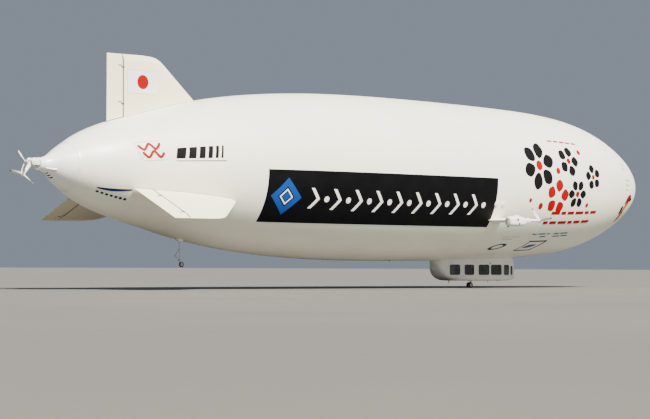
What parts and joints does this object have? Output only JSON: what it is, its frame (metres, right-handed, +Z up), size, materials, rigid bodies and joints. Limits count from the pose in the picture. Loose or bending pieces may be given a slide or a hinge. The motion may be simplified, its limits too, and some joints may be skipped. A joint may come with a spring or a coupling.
{
  "type": "half-scale model of a semi-rigid airship",
  "caption": "Half-scale semi-rigid airship: long tapered envelope, three tail fins, side engines on pylons, tail propellers and a windowed cabin underneath.",
  "frame": {"origin": "on the hull's axis at its centre of buoyancy, which is the mount air", "axes": "+X forwards along the hull's axis to the nose, +Z up, so +Y is port"},
  "size_m": [37.4481, 9.788, 9.23],
  "materials": {
    "envelope_fabric": "coated laminate, semi-matt",
    "white_paint": "satin paint",
    "blade_paint": "satin paint with red tips",
    "bare_metal": "machined",
    "engine_metal": "dark cast",
    "tyre_rubber": "black rubber",
    "tinted_glass": "tinted, clear",
    "seat_cloth": "woven cloth",
    "dark_panel": "matt"
  },
  "bodies": {
    "airframe": {"envelope": "envelope_fabric", "nose_cap": "white_paint", "mooring_spindle": "bare_metal", "tail_cone": "white_paint", "tail_engine": "engine_metal", "tail_fork": "white_paint", "fin_top": "white_paint", "fin_starboard": "white_paint", "fin_port": "white_paint", "nacelle_starboard": "white_paint", "engine_starboard": "engine_metal", "pylon_starboard": "white_paint", "nacelle_port": "white_paint", "engine_port": "engine_metal", "pylon_port": "white_paint", "cover_aft_starboard": "white_paint", "cover_forward_starboard": "white_paint", "cover_aft_port": "white_paint", "cover_forward_port": "white_paint", "aft_gear_box": "white_paint", "main_gear_flange": "bare_metal", "gondola_belly": "white_paint", "gondola_wall_starboard": "white_paint", "gondola_wall_port": "white_paint", "gondola_roof": "white_paint", "gondola_tail": "white_paint", "gondola_nose": "white_paint", "glazing_starboard": "tinted_glass", "glazing_port": "tinted_glass", "windscreen": "tinted_glass", "seats_starboard": "seat_cloth", "seats_port": "seat_cloth", "pilot_seats": "seat_cloth", "instrument_console": "dark_panel"},
    "rudder": {"rudder_top": "white_paint"},
    "starboard_elevator": {"elevator_starboard": "white_paint"},
    "port_elevator": {"elevator_port": "white_paint"},
    "starboard_head": {"swivel_starboard": "white_paint"},
    "starboard_screw": {"propeller_starboard": "blade_paint"},
    "port_head": {"swivel_port": "white_paint"},
    "port_screw": {"propeller_port": "blade_paint"},
    "tail_head": {"tail_gear_head": "white_paint"},
    "pusher": {"pusher_propeller": "blade_paint"},
    "tail_side_screw": {"lateral_propeller": "blade_paint"},
    "aft_strut": {"aft_leg": "bare_metal"},
    "aft_roller": {"aft_wheel": "tyre_rubber"},
    "main_strut": {"main_leg": "bare_metal"},
    "main_rollers": {"main_wheels": "tyre_rubber"},
    "door": {"cabin_door": "white_paint", "door_glass": "tinted_glass"}
  },
  "joints": [
    {"name": "rudder_hinge", "type": "hinge", "parent": "airframe", "child": "rudder", "pos_m": [-13.94, 0, 3.2], "axis": [0, 0, 1], "range_deg": [-25, 25]},
    {"name": "elevator_starboard_hinge", "type": "hinge", "parent": "airframe", "child": "starboard_elevator", "pos_m": [-13.94, -2.8761, -1.4028], "axis": [0, -0.8988, -0.4384], "range_deg": [-25, 25]},
    {"name": "elevator_port_hinge", "type": "hinge", "parent": "airframe", "child": "port_elevator", "pos_m": [-13.94, 2.8761, -1.4028], "axis": [0, 0.8988, -0.4384], "range_deg": [-25, 25]},
    {"name": "starboard_thrust_swivel", "type": "hinge", "parent": "airframe", "child": "starboard_head", "pos_m": [5.62, -4.2, -1.745], "axis": [0, -1, 0], "range_deg": [0, 120]},
    {"name": "starboard_screw_shaft", "type": "hinge", "parent": "starboard_head", "child": "starboard_screw", "pos_m": [6.55, -4.2, -1.745], "axis": [1, 0, 0], "continuous": true},
    {"name": "port_thrust_swivel", "type": "hinge", "parent": "airframe", "child": "port_head", "pos_m": [5.62, 4.2, -1.745], "axis": [0, -1, 0], "range_deg": [0, 120]},
    {"name": "port_screw_shaft", "type": "hinge", "parent": "port_head", "child": "port_screw", "pos_m": [6.55, 4.2, -1.745], "axis": [1, 0, 0], "continuous": true},
    {"name": "tail_thrust_swivel", "type": "hinge", "parent": "airframe", "child": "tail_head", "pos_m": [-18.35, 0, 0.15], "axis": [0, -1, 0], "range_deg": [-50, 40]},
    {"name": "pusher_shaft", "type": "hinge", "parent": "tail_head", "child": "pusher", "pos_m": [-18.76138, 0, -0.34027], "axis": [-0.6428, 0, -0.766], "continuous": true},
    {"name": "tail_side_screw_shaft", "type": "hinge", "parent": "airframe", "child": "tail_side_screw", "pos_m": [-18.35, 0.4, 0.15], "axis": [0, 1, 0], "continuous": true},
    {"name": "aft_leg_castor", "type": "hinge", "parent": "airframe", "child": "aft_strut", "pos_m": [-10.86, 0, -3], "axis": [0, 0, 1], "continuous": true},
    {"name": "aft_wheel_axle", "type": "hinge", "parent": "aft_strut", "child": "aft_roller", "pos_m": [-10.75, 0, -3.73], "axis": [0, 1, 0], "continuous": true},
    {"name": "main_leg_castor", "type": "hinge", "parent": "airframe", "child": "main_strut", "pos_m": [6.75, 0, -4.45], "axis": [0, 0, 1], "continuous": true},
    {"name": "main_wheels_axle", "type": "hinge", "parent": "main_strut", "child": "main_rollers", "pos_m": [6.68, 0, -4.6], "axis": [0, 1, 0], "continuous": true},
    {"name": "door_hinge", "type": "hinge", "parent": "airframe", "child": "door", "pos_m": [5.62, 0.576, -3.91], "axis": [0, 0, -1], "range_deg": [0, 100]}
  ]
}
